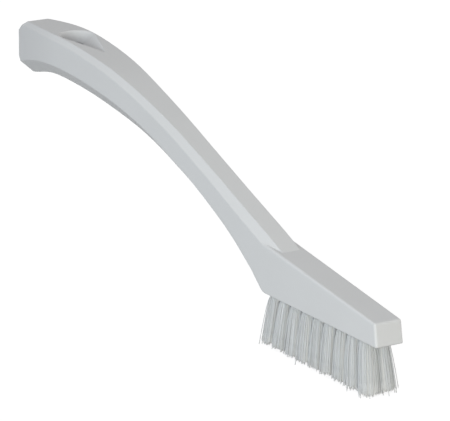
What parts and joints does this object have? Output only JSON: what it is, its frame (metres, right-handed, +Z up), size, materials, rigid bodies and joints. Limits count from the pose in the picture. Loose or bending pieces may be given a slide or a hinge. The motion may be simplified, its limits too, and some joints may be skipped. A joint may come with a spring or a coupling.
{
  "type": "crevice brush",
  "caption": "Slim crevice brush: stiff filament tufts in the flat underside of a wedge-shaped head, on a curved handle that ends in a dished hanging hole.",
  "frame": {"origin": "middle of the brush's length and width, in the plane of its trimmed bristle tips", "axes": "+X from the butt of the handle to the front of the head, +Y to the brush's left, +Z up, from the tips to the head"},
  "size_m": [0.2049, 0.0144, 0.0647],
  "materials": {
    "moulding": "near-white injection-moulded polypropylene, fine satin surface",
    "filament": "slightly translucent white polyester filament, cut tips",
    "anchor_wire": "drawn stainless flat wire"
  },
  "bodies": {
    "root": {"handle": "moulding", "tuft_right_1": "filament", "tuft_right_2": "filament", "tuft_right_3": "filament", "tuft_right_4": "filament", "tuft_right_5": "filament", "tuft_right_6": "filament", "tuft_right_7": "filament", "tuft_right_8": "filament", "tuft_right_9": "filament", "tuft_left_1": "filament", "tuft_left_2": "filament", "tuft_left_3": "filament", "tuft_left_4": "filament", "tuft_left_5": "filament", "tuft_left_6": "filament", "tuft_left_7": "filament", "tuft_left_8": "filament", "tuft_left_9": "filament", "anchor_right_1": "anchor_wire", "anchor_right_2": "anchor_wire", "anchor_right_3": "anchor_wire", "anchor_right_4": "anchor_wire", "anchor_right_5": "anchor_wire", "anchor_right_6": "anchor_wire", "anchor_right_7": "anchor_wire", "anchor_right_8": "anchor_wire", "anchor_right_9": "anchor_wire", "anchor_left_1": "anchor_wire", "anchor_left_2": "anchor_wire", "anchor_left_3": "anchor_wire", "anchor_left_4": "anchor_wire", "anchor_left_5": "anchor_wire", "anchor_left_6": "anchor_wire", "anchor_left_7": "anchor_wire", "anchor_left_8": "anchor_wire", "anchor_left_9": "anchor_wire"}
  },
  "joints": []
}
